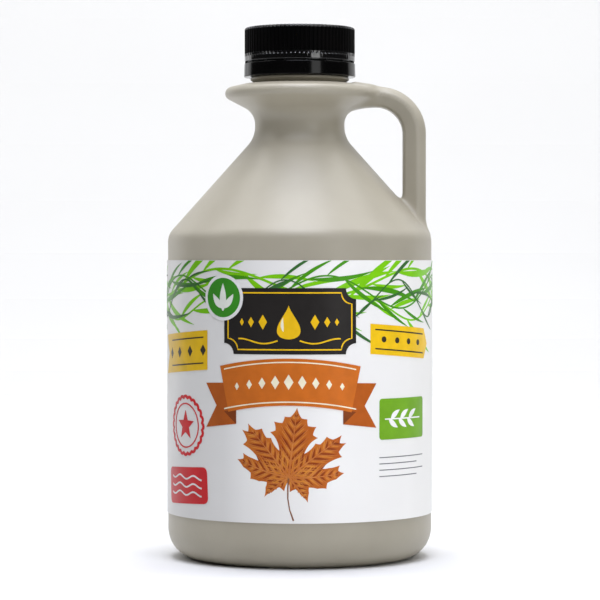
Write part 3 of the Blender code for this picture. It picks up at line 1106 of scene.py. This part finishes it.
def add_plaque():
    """The dark field with its drop of syrup."""
    left, right, bottom, top = MIDDLE - 25 * MM, MIDDLE + 25 * MM, 78.5 * MM, 102.5 * MM
    add_print("print_plaque", 4, ink("ink_dark", (38, 35, 33)), [scooped(left, bottom, right, top, 4 * MM)])
    inset = 1.7 * MM
    frame_line = scooped(left + inset, bottom + inset, right - inset, top - inset, 4 * MM)
    gold = [strip(frame_line, [0.5 * MM] * len(frame_line), closed=True)]
    middle = Vector((MIDDLE, 90.2 * MM))
    drop = [
        middle + Vector((sin(turn) * (1 - cos(turn)) * 3.3 * MM, -cos(turn) * 6.2 * MM))
        for turn in (2 * pi * step / 56 for step in range(56))
    ]
    gold.append([Vector((point.x, 2 * middle.y - point.y)) for point in reversed(drop)][::-1])
    for side in (-1, 1):
        for reach, size in ((9.5, 1.0), (14.0, 0.7), (17.6, 0.5)):
            gold.append(diamond(middle + Vector((side * reach * MM, 0)), 3.2 * size * MM, 5.4 * size * MM))
        flourish = [
            middle + Vector((side * reach * MM, -6.9 * MM + 0.9 * MM * cos(reach / 2.9)))
            for reach in range(4, 20)
        ]
        gold.append(line(flourish[::side], 0.55 * MM))
    add_print("print_gold", 5, ink("ink_gold", (247, 198, 28), 0.25), gold)
    shine = [blade(middle + Vector((-1.9 * MM, -3.4 * MM)), 112, 5.2 * MM, 1.1 * MM, -38)]
    add_print("print_drop_shine", 6, ink("ink_cream", (255, 246, 214)), shine)


def add_ribbon():
    """The orange ribbon with its folded tails."""
    def height_at(arc, rise):
        return (65.5 + rise + 3.0 * (1 - ((arc - MIDDLE) / (26 * MM)) ** 2)) * MM

    half = 25 * MM
    arcs = [MIDDLE - half + 2 * half * step / 40 for step in range(41)]
    front = [Vector((arc, height_at(arc, 0))) for arc in arcs]
    tails, folds = [], []
    for side in (-1, 1):
        inner, outer = MIDDLE + side * 20 * MM, MIDDLE + side * 33.5 * MM
        base = height_at(MIDDLE + side * half, 0) - 5.2 * MM
        notch, crease = outer - side * 5 * MM, MIDDLE + side * half
        tail = [(inner, -7.4), (outer, -9.0), (notch, -0.9), (outer, 7.2), (inner, 7.6)]
        fold = [(inner, -7.4), (crease, -3.0), (inner, -2.0)]
        tail, fold = ([Vector((arc, base + rise * MM)) for arc, rise in form] for form in (tail, fold))
        tails.append(tail if side > 0 else tail[::-1])
        folds.append(fold if side > 0 else fold[::-1])
    add_print("print_ribbon_tails", 4, ink("ink_orange_deep", (186, 92, 24)), tails)
    add_print("print_ribbon_folds", 5, ink("ink_orange_dark", (132, 62, 18)), folds)
    add_print("print_ribbon", 6, ink("ink_orange", (210, 111, 32)), [line(front, 17 * MM)])
    cream = [
        line([Vector((arc, height_at(arc, rise))) for arc in arcs], 0.45 * MM)
        for rise in (-7.2, 7.2)
    ]
    for number in range(-4, 5):
        arc = MIDDLE + number * 4.9 * MM
        size = (5.6 - 0.7 * abs(number)) * MM
        cream.append(diamond(Vector((arc, height_at(arc, 0))), 0.62 * size, size))
    add_print("print_ribbon_lines", 7, ink("ink_ribbon_cream", (255, 244, 214)), cream)


def add_left_accents():
    """A yellow tab, a white-rimmed green roundel, a red seal and a red field."""
    tab = mm((-70, 70), (-37, 72.5), (-37, 87), (-70, 84.5), (-66, 77.5))
    add_print("print_left_tab", 4, ink("ink_yellow", (247, 200, 24)), [tab])
    tab_lines = [line(mm((-62, 73.2), (-39, 74.9)), 0.5 * MM), line(mm((-62, 82.6), (-39, 84.4)), 0.5 * MM)]
    for number in range(4):
        centre = Vector((-62 + 7.6 * number, 77.9 + 0.58 * number)) * MM
        tab_lines.append(diamond(centre, 3 * MM, 4.2 * MM))
    add_print("print_left_tab_lines", 5, ink("ink_tab_lines", (58, 52, 40)), tab_lines)
    centre = Vector((-29.5, 99.0)) * MM
    add_print("print_roundel_rim", 6, ink("ink_white", (250, 250, 248)), [disc(centre, 8.4 * MM)])
    add_print("print_roundel", 7, ink("ink_roundel", (62, 150, 40)), [disc(centre, 7.2 * MM)])
    sprig = [
        blade(centre + Vector((0, -4.8 * MM)), 90, 10.0 * MM, 2.8 * MM),
        blade(centre + Vector((0.4 * MM, -3.8 * MM)), 40, 6.6 * MM, 2.4 * MM, 22),
        blade(centre + Vector((-0.4 * MM, -3.8 * MM)), 140, 6.6 * MM, 2.4 * MM, -22),
    ]
    add_print("print_roundel_sprig", 8, ink("ink_sprig", (246, 250, 240)), sprig)
    seal = Vector((-50.0, 51.5)) * MM
    red = [
        ring(seal, 10.2 * MM, 1.1 * MM, 144, 24, 0.7 * MM),
        ring(seal, 8.1 * MM, 0.5 * MM),
        star(seal, 5.6 * MM, 2.4 * MM, 5),
        turned_about(panel(-64 * MM, 22.5 * MM, -37 * MM, 36 * MM, 2.2 * MM), Vector((-50, 29)) * MM, 3),
    ]
    add_print("print_red", 4, ink("ink_red", (224, 32, 40)), red)
    waves = [
        line([Vector((arc * MM, (base + 0.7 * sin(arc / 1.5)) * MM)) for arc in range(-61, -39)], 0.6 * MM)
        for base in (26.4, 29.4, 32.4)
    ]
    add_print("print_red_waves", 5, ink("ink_wave_white", (250, 248, 246)), waves)


def add_right_accents():
    """A smaller yellow tab, a green field and a few grey rules."""
    tab = mm((27, 78.5), (58, 76), (61.5, 81.5), (58, 87.2), (27, 89.5))
    green = panel(31 * MM, 47 * MM, 57 * MM, 62 * MM, 1.2 * MM)
    add_print("print_right_tab", 4, ink("ink_yellow_right", (247, 200, 24)), [tab])
    lines = [line(mm((29, 80.4), (57, 78.1)), 0.5 * MM), line(mm((29, 87.4), (57, 85.1)), 0.5 * MM)]
    for number in range(4):
        lines.append(disc(Vector((33 + 6.6 * number, 83.7 - 0.5 * number)) * MM, 1.1 * MM, 24))
    add_print("print_right_tab_lines", 5, ink("ink_tab_lines_right", (58, 52, 40)), lines)
    add_print("print_green_field", 4, ink("ink_green_field", (118, 174, 34)), [green])
    middle = Vector((44, 54.5)) * MM
    sprig = [
        blade(middle + Vector((side * 0.5 * MM + step * MM, 0)), angle, 5.6 * MM, 2.0 * MM, bend)
        for step in (-8, -3, 2) for side, angle, bend in ((1, 48, -22), (-1, -48, 22))
    ]
    sprig.append(line([middle + Vector((-10.5 * MM, 0)), middle + Vector((10 * MM, 0))], 0.5 * MM))
    add_print("print_green_sprig", 5, ink("ink_field_white", (250, 250, 246)), sprig)
    rules = [
        line(mm((31, height), (57 - 5 * (number % 2), height)), 0.35 * MM)
        for number, height in enumerate((40.5, 38.2, 35.9, 33.6))
    ]
    add_print("print_rules", 1, ink("ink_grey", (120, 120, 120)), rules)


def add_back_print():
    """A ruled table, a small leaf spray and the film's glued overlap, at the back."""
    left, right, bottom, top = 96, 140, 34, 82
    rows, columns = range(bottom, top + 1, 6), (left, left + 28, right)
    table_lines = [line(mm((left, height), (right, height)), 0.4 * MM) for height in rows]
    table_lines += [line(mm((place, bottom), (place, top)), 0.4 * MM) for place in columns]
    add_print("print_table", 1, ink("ink_table", (96, 96, 98)), table_lines)
    spray = Vector((-112, 40)) * MM
    stem = [spray + Vector((2.2 * sin(share / 12) * MM, share * MM)) for share in range(0, 37, 3)]
    shapes = [line(stem, 0.7 * MM)]
    for number in range(1, 11):
        side = 1 if number % 2 else -1
        shapes.append(blade(stem[number], 90 - side * 48, (17 - number) * MM, 3.2 * MM, side * 20))
    add_print("print_back_spray", 1, ink("ink_spray", (196, 104, 36)), shapes)
    start, end = -SEAM_ARC, -SEAM_ARC + 6 * MM
    low, high = LABEL_BOTTOM + 0.1 * MM, LABEL_TOP - 0.2 * MM
    overlap = [Vector((start, low)), Vector((end, low)), Vector((end, high)), Vector((start, high))]
    add_print("label_overlap", 0.6, film_material(), [overlap])


def add_all_print():
    add_garland()
    add_maple_leaf()
    add_plaque()
    add_ribbon()
    add_left_accents()
    add_right_accents()
    add_back_print()


def main():
    bpy.context.scene.view_settings.view_transform = "Standard"
    add_camera()
    add_studio()
    add_jug()
    add_neck()
    add_cap()
    add_band()
    add_label()
    add_all_print()


main()
